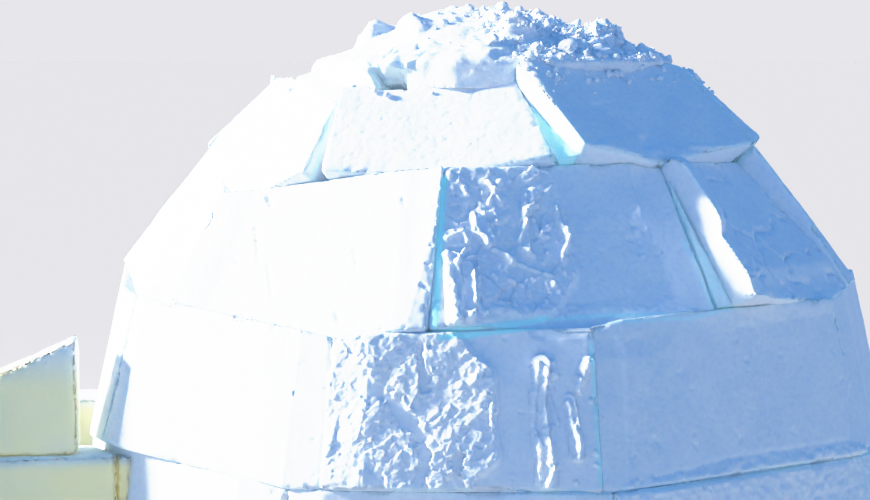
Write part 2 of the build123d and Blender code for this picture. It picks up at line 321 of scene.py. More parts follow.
@dataclass
class SnowMesh:
    """Triangles that are divided finely and then moved point by point."""

    points: Array
    faces: Array
    values: dict[str, Array] = field(default_factory=dict)

    @classmethod
    def from_node(cls, name: str) -> "SnowMesh":
        """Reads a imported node's mesh, with its split points joined again.

        Args:
            name: the node.

        Returns:
            The mesh.
        """
        mesh = frame["nodes"][name].data
        mesh.calc_loop_triangles()
        points = np.zeros(len(mesh.vertices) * 3)
        mesh.vertices.foreach_get("co", points)
        faces = np.zeros(len(mesh.loop_triangles) * 3, np.int64)
        mesh.loop_triangles.foreach_get("vertices", faces)
        rounded = np.round(points.reshape(-1, 3), 5)
        unique, inverse = np.unique(rounded, axis=0, return_inverse=True)
        faces = inverse.reshape(-1)[faces].reshape(-1, 3)
        whole = (faces[:, 0] != faces[:, 1]) & (faces[:, 1] != faces[:, 2]) & (faces[:, 2] != faces[:, 0])
        return cls(unique, faces[whole])

    def face_normals(self) -> tuple[Array, Array]:
        """Finds how the triangles lie.

        Returns:
            Their unit normals and their areas.
        """
        a, b, c = (self.points[self.faces[:, k]] for k in range(3))
        cross = np.cross(b - a, c - a)
        size = np.linalg.norm(cross, axis=1)
        return cross / np.maximum(size, 1e-15)[:, None], size / 2

    def point_normals(self) -> Array:
        """Averages the normals of the triangles round each point.

        Returns:
            One unit normal for each point.
        """
        normals, areas = self.face_normals()
        total = np.zeros_like(self.points)
        for k in range(3):
            np.add.at(total, self.faces[:, k], normals * areas[:, None])
        return total / np.maximum(np.linalg.norm(total, axis=1), 1e-15)[:, None]

    def edges(self) -> tuple[Array, Array]:
        """Numbers the edges.

        Returns:
            The two points of each edge, and the edge number of every triangle's three sides.
        """
        f = self.faces
        sides = np.sort(np.stack([f, np.roll(f, -1, 1)], 2), 2)
        key = sides[..., 0] * len(self.points) + sides[..., 1]
        unique, inverse = np.unique(key, return_inverse=True)
        ends = np.stack([unique // len(self.points), unique % len(self.points)], 1)
        return ends, inverse.reshape(f.shape)

    def sharp_edges(self, outer: Array | None = None, angle: float = 20.0) -> Array:
        """The edges where two triangles meet at more than the angle.

        Args:
            outer: the triangles of a slab's outer face, which may bend without being an edge.
            angle: the least angle in degrees.

        Returns:
            The two end points of each edge.
        """
        normals, _ = self.face_normals()
        ends, inverse = self.edges()
        first = np.full(len(ends), -1)
        second = np.full(len(ends), -1)
        for k in range(3):
            for face, edge in enumerate(inverse[:, k]):
                if first[edge] < 0:
                    first[edge] = face
                else:
                    second[edge] = face
        both = second >= 0
        bend = np.ones(len(ends))
        bend[both] = (normals[first[both]] * normals[second[both]]).sum(1)
        sharp = bend < cos(radians(angle))
        if outer is not None:
            sharp &= ~(both & outer[first] & outer[second] & (bend > 0.7))
        return self.points[ends[sharp]]

    def refine(self, spacing: "Spacing") -> "SnowMesh":
        """Splits long edges until none is longer than the spacing asks.

        Args:
            spacing: gives the longest edge allowed at each place.

        Returns:
            The same surface in smaller triangles.
        """
        points, f = self.points, self.faces
        for _ in range(40):
            mesh = SnowMesh(points, f)
            ends, inverse = mesh.edges()
            a, b = points[ends[:, 0]], points[ends[:, 1]]
            middle = (a + b) / 2
            length = np.linalg.norm(a - b, axis=1)
            long = length > spacing.at(middle)
            if not long.any():
                break
            busy = long[inverse].any(1)
            longest = inverse[np.arange(len(f)), length[inverse].argmax(1)]
            marked = np.zeros(len(ends), bool)
            marked[longest[busy]] = True
            fresh = np.full(len(ends), -1)
            fresh[marked] = len(points) + np.arange(marked.sum())
            points = np.concatenate([points, middle[marked]])
            f = self._divide(points, f, fresh[inverse])
        return SnowMesh(points, f)

    @staticmethod
    def _divide(points: Array, f: Array, m: Array) -> Array:
        """Cuts each triangle at its new middle points.

        Args:
            points: all points, the new ones too.
            f: the triangles.
            m: for each side of each triangle, its new middle point, or -1.

        Returns:
            The new triangles.
        """
        count = (m >= 0).sum(1)
        made = [f[count == 0]]
        rows = np.flatnonzero(count == 1)
        if len(rows):
            k = (m[rows] >= 0).argmax(1)
            a, b, c = (f[rows, (k + i) % 3] for i in range(3))
            n = m[rows, k]
            made += [np.stack([a, n, c], 1), np.stack([n, b, c], 1)]
        rows = np.flatnonzero(count == 2)
        if len(rows):
            k = ((m[rows] < 0).argmax(1) + 1) % 3
            a, b, c = (f[rows, (k + i) % 3] for i in range(3))
            n0, n1 = m[rows, k], m[rows, (k + 1) % 3]
            made.append(np.stack([n0, b, n1], 1))
            first, second = points[a] - points[n1], points[n0] - points[c]
            short = np.linalg.norm(first, axis=1) < np.linalg.norm(second, axis=1)
            made += [np.stack([a, n0, n1], 1)[short], np.stack([a, n1, c], 1)[short]]
            made += [np.stack([a, n0, c], 1)[~short], np.stack([n0, n1, c], 1)[~short]]
        rows = np.flatnonzero(count == 3)
        if len(rows):
            a, b, c = f[rows].T
            n0, n1, n2 = m[rows].T
            made += [np.stack(t, 1) for t in ((a, n0, n2), (n0, b, n1), (n2, n1, c), (n0, n1, n2))]
        return np.concatenate(made)

    def smoothed(self, turns: int, share: Array) -> "SnowMesh":
        """Moves each point towards the middle of its neighbours.

        Args:
            turns: how many times.
            share: how far each point goes each time, from 0 to 1.

        Returns:
            The smoother mesh.
        """
        ends, _ = self.edges()
        points = self.points.copy()
        number = np.zeros(len(points))
        np.add.at(number, ends[:, 0], 1)
        np.add.at(number, ends[:, 1], 1)
        for _ in range(turns):
            total = np.zeros_like(points)
            np.add.at(total, ends[:, 0], points[ends[:, 1]])
            np.add.at(total, ends[:, 1], points[ends[:, 0]])
            points += (total / number[:, None] - points) * share[:, None]
        return SnowMesh(points, self.faces)

    def stand_on_ground(self) -> None:
        """Lifts the points that lie below the ground onto it."""
        self.points[:, 2] = np.maximum(self.points[:, 2], 0.0)

    def to_object(self, name: str) -> Piece:
        """Makes the Blender object, smooth shaded, with its values as point attributes.

        Args:
            name: the object's name.

        Returns:
            The object.
        """
        mesh = bpy.data.meshes.new(name)
        mesh.vertices.add(len(self.points))
        mesh.vertices.foreach_set("co", self.points.astype(np.float32).ravel())
        mesh.loops.add(len(self.faces) * 3)
        mesh.loops.foreach_set("vertex_index", self.faces.astype(np.int32).ravel())
        mesh.polygons.add(len(self.faces))
        mesh.polygons.foreach_set("loop_start", np.arange(0, len(self.faces) * 3, 3, dtype=np.int32))
        mesh.update(calc_edges=True)
        mesh.polygons.foreach_set("use_smooth", np.ones(len(self.faces), bool))
        for key, value in self.values.items():
            layer = mesh.attributes.new(key, "FLOAT", "POINT")
            layer.data.foreach_set("value", value.astype(np.float32))
        mesh.validate()
        return place_object(name, mesh)


@dataclass
class Spacing:
    """How long an edge may be: fine at a piece's outer edges, coarse where nothing shows."""

    fine: float
    coarse: float = 0.05
    normals: Array | None = None
    origins: Array | None = None
    segments: Array | None = None
    middle: float = 0.0

    def depth(self, points: Array) -> Array:
        """Finds how deep each point lies under the nearest outer face.

        Args:
            points: the points, in metres.

        Returns:
            One depth for each point.
        """
        if self.normals is None:
            return np.zeros(len(points))
        deep = np.full(len(points), 9.0)
        for normal, origin in zip(self.normals, self.origins):
            deep = np.minimum(deep, np.abs((points - origin) @ normal))
        return deep

    def at(self, points: Array) -> Array:
        """Finds the longest edge allowed at each point.

        Args:
            points: the points, in metres.

        Returns:
            One length for each point.
        """
        length = np.full(len(points), self.fine)
        if self.segments is not None:
            length += (self.middle - self.fine) * ramp(segment_distance(points, self.segments), 0.02, 0.06)
        return length + (self.coarse - length) * ramp(self.depth(points), 0.02, 0.10)


# Finishes


NodeInput = Socket | tuple[float, ...] | float


class NodeBench:
    """Adds nodes to a material's or a world's tree, and joins them up."""

    def __init__(self, tree: bpy.types.NodeTree) -> None:
        """Starts with the tree that the nodes go into."""
        self.tree = tree

    def feed(self, node: bpy.types.Node, inputs: dict[str | int, NodeInput]) -> None:
        """Sets or links a node's inputs.

        Args:
            node: the node.
            inputs: the value or the socket for each input, by name or number.
        """
        for key, value in inputs.items():
            if isinstance(value, Socket):
                self.tree.links.new(value, node.inputs[key])
            else:
                node.inputs[key].default_value = value

    def add(
        self, kind: str, inputs: dict[str | int, NodeInput], result: str | int = 0, **settings: str
    ) -> Socket:
        """Adds one node.

        Args:
            kind: its type, without ShaderNode.
            inputs: the value or the socket for each input, by name or number.
            result: which output is wanted.
            settings: the node's own settings.

        Returns:
            The wanted output.
        """
        node = self.tree.nodes.new("ShaderNode" + kind)
        for name, value in settings.items():
            setattr(node, name, value)
        self.feed(node, inputs)
        return node.outputs[result]

    def noise(self, place: NodeInput, size: float, detail: float) -> Socket:
        """Noise whose grains are about the given size in metres."""
        return self.add("TexNoise", {"Vector": place, "Scale": 1.0 / size, "Detail": detail}, "Fac")

    def stretched(self, value: NodeInput, low: float, high: float) -> Socket:
        """The values from low to high, stretched over 0 to 1."""
        return self.add("MapRange", {"Value": value, "From Min": low, "From Max": high}, "Result")

    def mix(self, share: NodeInput, first: NodeInput, second: NodeInput, blend: str = "MIX") -> Socket:
        """Two colours mixed: the first one where the share is 0."""
        return self.add("Mix", {0: share, 6: first, 7: second}, 2, data_type="RGBA", blend_type=blend)

    def bump(self, height: NodeInput, depth: float, **below: NodeInput) -> Socket:
        """A bump of the given depth in metres, over another one if that is given as Normal."""
        return self.add("Bump", {"Strength": 1.0, "Distance": depth, "Height": height, **below}, "Normal")


@dataclass(frozen=True)
class SnowFinish:
    """Snow: its colours, the light painted into it where daylight would shine through at joints, its grain
    and its pits.
    """

    name: str
    colour: Colour = (0.90, 0.93, 0.96)
    hollow_colour: Colour = (0.80, 0.87, 0.95)
    # pit_colour makes the snow darker and bluer in the low spots of the crust bump
    pit_colour: Colour = (0.88, 0.93, 0.98)
    # painted light: the colour and strength of the shine painted where daylight would come through the snow
    painted_glow_colour: Colour = (0.30, 0.74, 0.82)
    painted_glow_strength: float = 0.22
    roughness: float = 0.72
    shine: float = 0.25
    subsurface: float = 0.25
    subsurface_radius: Colour = (0.5, 0.8, 1.0)
    subsurface_scale: float = 0.02
    mottle: float = 1 / 7
    grain: float = 0.0035
    grain_depth: float = 0.0006
    crust: float = 0.016
    crust_depth: float = 0.0012

    def build(self) -> bpy.types.Material:
        """Makes the material from nodes.

        Returns:
            The material.
        """
        material, shader = new_material(self.name)
        bench = NodeBench(material.node_tree)
        place = bench.add("TexCoord", {}, "Object")
        patches = bench.stretched(bench.noise(place, self.mottle, 5.0), 0.35, 0.7)
        spots = bench.noise(place, self.crust, 3.0)
        mixed = bench.mix(patches, (*self.hollow_colour, 1.0), (*self.colour, 1.0))
        pitted = bench.mix(1.0, mixed, (*self.pit_colour, 1.0), "MULTIPLY")
        mixed = bench.mix(bench.stretched(spots, 0.25, 0.55), pitted, mixed)
        # painted light: this attribute tints the base colour towards a cyan and makes the snow emit,
        # standing in for daylight shining through
        painted_glow = bench.add("Attribute", {}, "Fac", attribute_name="painted_glow")
        grains = bench.bump(bench.noise(place, self.grain, 2.0), self.grain_depth)
        bench.feed(shader, {
            "Base Color": bench.mix(painted_glow, mixed, (*self.painted_glow_colour, 1.0)),
            "Emission Color": (*self.painted_glow_colour, 1.0),
            "Emission Strength": bench.add("Math", {0: painted_glow, 1: self.painted_glow_strength}, operation="MULTIPLY"),
            "Normal": bench.bump(spots, self.crust_depth, Normal=grains),
            "Roughness": self.roughness,
            "Specular IOR Level": self.shine,
            "Subsurface Weight": self.subsurface,
            "Subsurface Radius": self.subsurface_radius,
            "Subsurface Scale": self.subsurface_scale,
        })
        return material


BLOCK_SNOW = SnowFinish("block_snow")
# painted light: snow packed into the gaping joints is painted to shine more strongly than the slabs
PACKED_SNOW = SnowFinish("packed_snow", painted_glow_strength=0.3, subsurface=0.35)
LOOSE_SNOW = SnowFinish(
    "loose_snow",
    colour=(0.93, 0.95, 0.97),
    grain=0.005,
    grain_depth=0.0012,
    crust_depth=0.002,
)
# painted light: a cream shine painted into the passage blocks, standing in for the sun shining through them
# from behind
PASSAGE_SNOW = SnowFinish(
    "passage_snow",
    colour=(0.90, 0.93, 0.90),
    hollow_colour=(0.78, 0.88, 0.86),
    painted_glow_colour=(0.84, 0.80, 0.48),
    painted_glow_strength=0.17,
    subsurface=0.4,
    roughness=0.5,
)


def place_object(name: str, data: bpy.types.ID) -> Piece:
    """Makes an object of some data in the scene.

    Args:
        name: the object's name.
        data: its mesh, camera or light.

    Returns:
        The object.
    """
    made = bpy.data.objects.new(name, data)
    bpy.context.scene.collection.objects.link(made)
    return made


def new_material(name: str) -> tuple[bpy.types.Material, bpy.types.Node]:
    """Makes a material with nodes.

    Args:
        name: the material's name.

    Returns:
        The material and its shader.
    """
    material = bpy.data.materials.new(name)
    material.use_nodes = True
    return material, material.node_tree.nodes["Principled BSDF"]


def dress(piece: Piece, material: bpy.types.Material, slot: str, *nodes: str) -> Piece:
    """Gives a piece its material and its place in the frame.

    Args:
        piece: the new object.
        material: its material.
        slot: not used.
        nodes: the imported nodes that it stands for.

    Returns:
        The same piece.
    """
    piece.data.materials.append(material)
    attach(piece, "root")
    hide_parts(*nodes)
    log.info("%s: %d triangles", piece.name, len(piece.data.polygons))
    return piece


# Slabs


class Face(Enum):
    """How a slab's outer face was left."""

    SMOOTH = "smooth"
    SAWN = "sawn"
    PITTED = "pitted"
    DENTED = "dented"


SOFT = Noise(1)
CRISP = Noise(2)
CHIPS = Noise(3)
FRAY = Noise(4)
FLAKES = Noise(31)
DINTS = (Noise(11), Noise(12), Noise(13))
WOBBLES = (Noise(21), Noise(22), Noise(23))
PULLS = (Noise(41), Noise(42), Noise(43))
GAP_SHIFTS = (Noise(51), Noise(52))


@dataclass
class SnowSlab:
    """One cut slab of the dome, with worn edges and the marks of the saw on its outer face."""

    node: str
    face: Face = Face.SMOOTH
    shown: bool = False
    wear: float = 0.012
    press: float = 0.0022
    chip_depth: float = 0.014
    chip_reach: float = 0.028
    inner_spacing: float = 0.05
    bend_depth: Span = (0.05, 0.16)
    gap_wander: float = 16.0
    outward: float = 0.55
    least_area: float = 1e-5
    marks: tuple[Stroke, ...] = ()
    # painted light: strokes where a stronger shine is painted into the joints
    painted_glows: tuple[Stroke, ...] = ()
    tears: tuple[Tear, ...] = ()
    calms: tuple[Stroke, ...] = ()
    bends: tuple[Stroke, ...] = ()
    crests: tuple[Stroke, ...] = ()

    def outer_faces(self, mesh: SnowMesh) -> tuple[Array, Array, Array]:
        """Finds the slab's faces that look away from the room.

        Args:
            mesh: the slab as packed.

        Returns:
            Which triangles they are, their normals, and a point on each.
        """
        normals, areas = mesh.face_normals()
        middle = mesh.points[mesh.faces].mean(1)
        away = middle - ROOM_MIDDLE
        away /= np.linalg.norm(away, axis=1)[:, None]
        outer = ((normals * away).sum(1) > self.outward) & (areas > self.least_area)
        return outer, normals[outer], middle[outer]

    def spacings(self) -> tuple[float, float]:
        """Chooses how fine the slab's mesh is.

        Returns:
            The longest edges at the rim and in the middle of its outer face.
        """
        if self.tears:
            pair = (0.0062, 0.0062)
        elif self.shown:
            pair = (0.011, 0.0125 if self.marks or self.face is Face.PITTED else 0.019)
        else:
            pair = (0.022, 0.040)
        return pair[0] * QUICK_GROWTH, pair[1] * QUICK_GROWTH

    def build(self) -> Piece:
        """Makes the slab's mesh.

        Returns:
            The slab, not dressed yet.
        """
        plain = SnowMesh.from_node(self.node)
        outer, normals, origins = self.outer_faces(plain)
        sharp = plain.sharp_edges(outer)
        fine, middle = self.spacings()
        spacing = Spacing(fine, self.inner_spacing, normals, origins, sharp, middle)
        mesh = plain.refine(spacing)
        facing, away = mesh.point_normals(), normals.mean(0)
        depth = spacing.depth(mesh.points)
        edge = segment_distance(mesh.points, sharp)
        outside = 1 - ramp(depth, 0.002, 0.03)
        shift = self.worn_edges(mesh.points, edge) + self.unevenness(mesh.points, depth)
        places = CAMERA.picture(mesh.points)
        seen = ramp(facing @ away, 0.3, 0.8) * outside
        shift += self.relief(mesh.points, places, seen) * seen * ramp(edge, 0.0, 0.012)
        bend = self.heaved(self.bends, places) * (1 - ramp(depth, *self.bend_depth))
        upward = np.array([0.0, 0.0, 1.0]) - away * away[2]
        crest = self.heaved(self.crests, places)
        mesh.points = mesh.points + facing * shift[:, None] + away * bend[:, None] + upward * crest[:, None]
        mesh.stand_on_ground()
        if self.node == "course_5_block_1":
            mesh.points = CrownSnow.ragged(mesh.points)
        # painted light: the shine painted at the joints, stored as a point attribute
        mesh.values["painted_glow"] = self.painted_glow(mesh.points, places, edge)
        return mesh.to_object(self.node.replace("block", "slab"))

    @staticmethod
    def heaved(heaves: tuple[Stroke, ...], places: Array) -> Array:
        """Finds how far the slab is moved bodily along its bends or crests.

        Args:
            heaves: the bends or crests.
            places: the points' columns and rows in the picture.

        Returns:
            One distance in metres for each point.
        """
        total = np.zeros(len(places))
        for heave in heaves:
            total += heave.height * ramp(heave.strength(places), 0.0, 0.9)
        return total

    def worn_edges(self, points: Array, edge: Array) -> Array:
        """How far the points near a sharp edge move, to round it and chip it.

        Args:
            points: the points, in metres.
            edge: the distance of each to the nearest sharp edge.

        Returns:
            One distance for each point, below 0 for inward.
        """
        reach = self.wear * (1.1 + 0.8 * SOFT.layered(points, 0.11, 3))
        chipped = ramp(CHIPS.layered(points, 0.07, 3), 0.16, 0.5)
        rounded = rounded_off(edge, reach, 0.45, 0.002)
        return rounded - self.chip_depth * chipped * np.clip(1 - edge / self.chip_reach, 0, 1) ** 1.5

    def unevenness(self, points: Array, depth: Array) -> Array:
        """Adds the slow swell of the hand-cut outer face to the press of the slabs in a joint.

        Args:
            points: the points, in metres.
            depth: how deep each lies under the outer face.

        Returns:
            One distance for each point.
        """
        swell = 0.0035 * SOFT.layered(points, 0.33, 3) + 0.0012 * CRISP.layered(points, 0.06, 3)
        pressed = self.press * ramp(depth, 0.004, 0.02) * (1 - ramp(depth, 0.1, 0.15))
        return swell * (1 - ramp(depth, 0.002, 0.02)) + pressed

    def texture(self, points: Array) -> Array:
        """The small relief of the kind of face that the slab has.

        Args:
            points: the points, in metres.

        Returns:
            One height for each point.
        """
        if self.face is Face.SAWN:
            return 0.0016 * CRISP.layered(points * np.array([1.0, 1.0, 0.12]), 0.03, 3)
        if self.face is Face.PITTED:
            pits = ramp(CRISP.ridged(points * np.array([1.0, 1.0, 0.35]), 0.02, 2), 0.66, 0.95)
            return -0.0022 * pits + 0.0009 * CRISP.layered(points, 0.02, 2)
        if self.face is Face.DENTED:
            dents = ramp(CHIPS.ridged(points * np.array([1.0, 1.0, 1.6]), 0.12, 3), 0.58, 0.95)
            return -0.016 * dents + 0.0015 * CRISP.layered(points, 0.03, 2)
        nicks = ramp(CHIPS.layered(points, 0.035, 2), 0.45, 0.7)
        return 0.0008 * CRISP.layered(points, 0.025, 2) - 0.004 * nicks

    def relief(self, points: Array, places: Array, seen: Array) -> Array:
        """Adds up the heights of the outer face's own marks.

        Args:
            points: the points, in metres.
            places: their columns and rows in the picture.
            seen: 1 on the outer face, 0 away from it.

        Returns:
            One height in metres for each point.
        """
        height = self.texture(points)
        plates, fray = np.zeros(len(points)), 0.5 * FRAY.layered(points, 0.09, 3)
        if self.tears:
            shown = seen > 0
            plates[shown] = self.broken_snow(points[shown])
        calm = np.ones(len(points))
        drift = np.stack([self.gap_wander * noise.layered(points, 0.05, 3) for noise in GAP_SHIFTS], 1)
        for gap in self.calms:
            calm *= 1 - 0.85 * ramp(gap.strength(places + drift, fray), 0.0, 0.6)
        for tear in self.tears:
            where = ramp(tear.patch.strength(places, fray), 0.0, 0.35) * calm
            torn = where * (tear.patch.height * plates + tear.lifted(places))
            height = np.where(np.abs(torn) > np.abs(height), torn, height)
        jitter = FRAY.layered(points, 0.02, 2)
        for mark in self.marks:
            height += mark.height * mark.strength(places, jitter) ** 0.7 * (0.75 + 0.45 * jitter)
        return height

    @staticmethod
    def broken_snow(points: Array) -> Array:
        """Torn snow: flakes tilted every way, with steps between them.

        Args:
            points: the points, in metres.

        Returns:
            One value for each point, from about -1 to 1.
        """
        leaning = points @ np.array([[1.0, 0.0, 0.30], [0.0, 1.0, 0.0], [-0.55, 0.0, 1.0]])
        leaning = leaning + 0.012 * np.stack([noise.layered(points, 0.05, 2) for noise in WOBBLES], 1)
        large = FLAKES.tilted(leaning * np.array([1.0, 1.0, 0.5]), 0.075)
        small = FLAKES.tilted(leaning * np.array([1.0, 1.0, 0.7]) + 3.1, 0.026)
        crests = CRISP.ridged(leaning, 0.10, 3) - 0.55
        return large + 0.45 * small + 0.5 * crests + 0.3 * SOFT.layered(points, 0.012, 2)

    def painted_glow(self, points: Array, places: Array, edge: Array) -> Array:
        """Paints light in where daylight would come through the snow: faintly at thin joints, more at the
        marked ones.

        Args:
            points: the points, in metres.
            places: their columns and rows in the picture.
            edge: distance to the nearest sharp edge.

        Returns:
            Painted light from 0 to 1 for each point.
        """
        near = np.exp(-((edge / 0.012) ** 2))
        painted_glow = 0.22 * near * (0.7 + 0.5 * SOFT.layered(points, 0.2, 2))
        jitter = FRAY.layered(points, 0.03, 2)
        for mark in self.painted_glows:
            painted_glow = np.maximum(painted_glow, mark.height * mark.strength(places, jitter))
        return np.clip(painted_glow, 0, 1)


# Marks on the slabs that face the camera, chosen from what the picture shows


def strokes(*rows: tuple[float, ...]) -> tuple[Stroke, ...]:
    """Strokes from rows of half width, height, and the columns and rows of the line's points."""
    return tuple(Stroke(tuple(zip(row[2::2], row[3::2])), row[0], row[1]) for row in rows)


def tears(*rows: tuple[float, ...]) -> tuple[Tear, ...]:
    """Tears from rows of half width, height, lift, first and last column, and the line's points."""
    return tuple(Tear(strokes((*row[:2], *row[5:]))[0], *row[2:5]) for row in rows)


MIDDLE_SLAB_RIDGES = strokes(
    (5, 0.024, 446, 258, 449, 290, 455, 326),
    (3, 0.015, 453, 265, 462, 284, 460, 309, 468, 321),
    (4, 0.021, 475, 272, 476, 307, 484, 315),
    (2.6, 0.015, 456, 265, 475, 258),
    (2.8, 0.015, 445, 241, 461, 235, 468, 249, 458, 260),
    (3.6, 0.018, 472, 218, 475, 233, 486, 248),
    (2.2, 0.012, 483, 217, 493, 215, 498, 234),
    (2.8, 0.015, 487, 186, 493, 194, 488, 206),
    (2.8, 0.015, 499, 185, 493, 194, 499, 206),
    (3.4, 0.015, 459, 181, 466, 196),
    (3, 0.012, 448, 176, 449, 179),
    (3.4, 0.018, 523, 195, 524, 206),
    (3.2, 0.018, 535, 208, 522, 213, 525, 223, 520, 240, 518, 250, 532, 258),
    (2.8, 0.015, 532, 220, 538, 236, 549, 229),
    (2.4, 0.012, 540, 238, 547, 239),
    (3, 0.018, 555, 210, 558, 226, 568, 240, 560, 263),
    (3.2, 0.015, 493, 252, 505, 258, 511, 264),
    (2.2, 0.012, 518, 266, 535, 273, 553, 279),
    (3.4, 0.018, 552, 286, 553, 287),
    (2.8, 0.015, 547, 257, 543, 266),
    (2.2, 0.012, 563, 274, 564, 276),
    (2.6, 0.012, 573, 277, 574, 279),
    (2.2, 0.015, 528, 289, 528, 298),
    (2.2, 0.012, 545, 302, 546, 304),
    (2, 0.011, 505, 301, 506, 303),
    (2.2, 0.012, 514, 303, 515, 307),
    (2.2, 0.012, 508, 282, 514, 285),
    (2.2, 0.011, 519, 286, 522, 288),
    (2.2, 0.012, 492, 277, 495, 280),
    (7, 0.006, 452, 333, 480, 318, 520, 312, 600, 312, 690, 316),
)
MIDDLE_SLAB_SWIRLS = strokes(
    (6, 0.003, 588, 225, 600, 216, 625, 219, 627, 236, 604, 243, 599, 262),
    (9, 0.006, 640, 215, 650, 255, 668, 300),
    (6, 0.004, 640, 260, 628, 300),
)
LOWER_SLAB_RIDGES = strokes(
    (5, 0.010, 537, 366, 548, 373),
    (3.6, 0.019, 538, 364, 533, 400, 533, 428, 539, 452, 538, 482),
    (3, 0.016, 553, 363, 555, 376, 549, 382),
    (3.4, 0.019, 552, 427, 551, 455, 556, 467, 548, 484),
    (2.4, 0.011, 548, 391, 558, 425),
    (3.4, 0.016, 587, 363, 578, 388, 580, 393),
    (3.6, 0.019, 568, 403, 572, 425, 578, 440, 577, 458),
    (2.4, 0.013, 596, 452, 597, 454),
    (2.4, 0.013, 596, 464, 598, 466),
    (2.2, 0.013, 591, 400, 592, 402),
    (2.6, 0.013, 576, 482, 577, 484),
    (2.6, 0.014, 491, 405, 492, 425),
    (3, 0.016, 582, 498, 614, 499),
)
LOWER_SLAB_TEARS = tears(
    (26, 0.007, 0.004, 340, 380, 350, 345, 352, 470),
    (30, 0.008, 0.040, 345, 492, 380, 355, 430, 352, 468, 385, 474, 450),
    (32, 0.008, 0.040, 345, 492, 375, 380, 440, 400, 440, 450, 400, 455, 385, 420),
    (18, 0.007, 0.040, 345, 492, 398, 440, 402, 492),
    (12, 0.007, 0.040, 345, 492, 432, 440, 434, 488),
    (14, 0.007, 0.040, 345, 492, 465, 460, 466, 480),
    (10, 0.006, 0.038, 530, 550, 541, 364, 536, 400, 541, 440, 548, 482),
    (7, 0.006, 0.036, 570, 594, 588, 363, 576, 388),
    (7, 0.006, 0.040, 562, 580, 569, 400, 578, 456),
)
LOWER_SLAB_CALMS = strokes(
    (8, 0.0, 386, 394, 402, 416, 424, 440),
    (9, 0.0, 419, 341, 427, 388),
    (12, 0.0, 352, 372, 374, 398),
    (12, 0.0, 368, 474, 382, 496),
    (7, 0.0, 422, 448, 421, 498),
    (7, 0.0, 453, 462, 453, 498),
    (7, 0.0, 476, 484, 496, 480),
)
MIDDLE_SLAB_TEARS = tears(
    (8.5, 0.003, 0.020, 439, 456, 450, 262, 454, 322),
    (6.5, 0.004, 0.030, 459, 472, 466, 270, 469, 320),
    (9, 0.005, 0.018, 439, 470, 449, 240, 462, 240),
    (24, 0.005, 0.014, 441, 500, 468, 178, 492, 208),
    (8, 0.005, 0.026, 468, 492, 476, 218, 488, 244),
    (8, 0.006, 0.032, 512, 530, 530, 198, 520, 226, 523, 252),
    (6, 0.005, 0.032, 549, 566, 556, 206, 565, 240, 560, 264),
    (5, 0.004, 0.022, 488, 510, 492, 252, 512, 264),
    (56, 0.006, 0.022, 441, 580, 500, 205, 525, 272),
)
MIDDLE_SLAB_BENDS = strokes(
    (34, -0.022, 664, 178, 690, 240, 712, 310),
    (30, -0.014, 656, 170, 682, 228),
    (75, 0.010, 446, 200, 446, 325),
    (24, 0.006, 450, 332, 560, 326, 690, 316),
)
RIGHT_SLAB_BENDS = strokes(
    (70, -0.040, 598, 315, 603, 495),
    (40, -0.012, 596, 322, 640, 320),
    (28, 0.010, 772, 296, 850, 284),
)
LOWER_SLAB_BENDS = strokes(
    (14, -0.008, 540, 328, 600, 324),
    (44, 0.006, 566, 350, 572, 490),
)
MIDDLE_LEFT_SLAB_NOTCHES = strokes(
    (1.8, -0.010, 437, 186, 442, 188),
    (1.6, -0.011, 432, 204, 440, 203),
    (2, -0.010, 434, 222, 440, 224),
    (1.9, -0.012, 429, 243, 438, 246),
    (1.6, -0.011, 424, 262, 436, 260),
    (2.6, -0.012, 420, 283, 434, 290),
    (1.8, -0.011, 423, 305, 432, 306),
    (1.8, -0.010, 400, 331, 404, 325),
    (1.6, -0.008, 378, 332, 382, 327),
    (3, -0.012, 267, 198, 270, 205),
    (3, -0.011, 402, 199, 404, 204),
    (3.5, -0.014, 336, 314, 338, 321),
    (3, -0.011, 233, 257, 236, 261),
    (2.2, -0.008, 255, 228, 258, 262),
    (2.2, -0.008, 268, 265, 272, 300),
    (2.2, -0.008, 354, 250, 356, 263),
)
MIDDLE_LEFT_SLAB_BENDS = strokes(
    (40, 0.012, 218, 190, 168, 303),
    (36, -0.010, 440, 168, 428, 330),
)
# painted light: strokes along joints where a cyan shine is painted, as if daylight came through
MIDDLE_LEFT_SLAB_GLOWS = strokes(
    (4.5, 0.6, 442, 180, 437, 250, 431, 328),
)
RIGHT_UPPER_SLAB_BENDS = strokes(
    (30, 0.018, 662, 168, 700, 222, 752, 296),
    (28, 0.036, 672, 186, 696, 224),
    (34, -0.020, 770, 300, 845, 292),
)
LOWEST_SEAM_BAND = strokes(
    (60, 0.016, 655, 492, 698, 484, 770, 472, 870, 458),
)
MIDDLE_SLAB_MARKS = MIDDLE_SLAB_RIDGES + MIDDLE_SLAB_SWIRLS
UPPER_LEFT_SLAB_CRESTS = strokes(
    (20, 0.014, 300, 78, 515, 82),
    (15, -0.040, 382, 84, 408, 84),
)
RIGHT_SLAB_BANDS = strokes(
    (14, 0.004, 640, 335, 650, 470),
    (18, 0.003, 745, 330, 760, 440),
    (5, -0.004, 835, 300, 850, 440),
    (3, -0.004, 645, 483, 670, 475, 738, 457, 807, 447, 850, 440),
    (15, 0.018, 640, 496, 698, 484, 770, 472, 870, 458),
)
UPPER_RIGHT_SLAB_MARKS = strokes(
    (7, 0.008, 598, 150, 615, 143, 634, 156),
    (6, 0.008, 650, 152, 666, 149, 682, 155),
    (5, -0.010, 645, 138, 648, 156),
    (3, 0.008, 690, 147, 735, 147),
)
RIGHT_SLAB_EDGE = strokes(
    (4, 0.010, 778, 298, 800, 297),
)
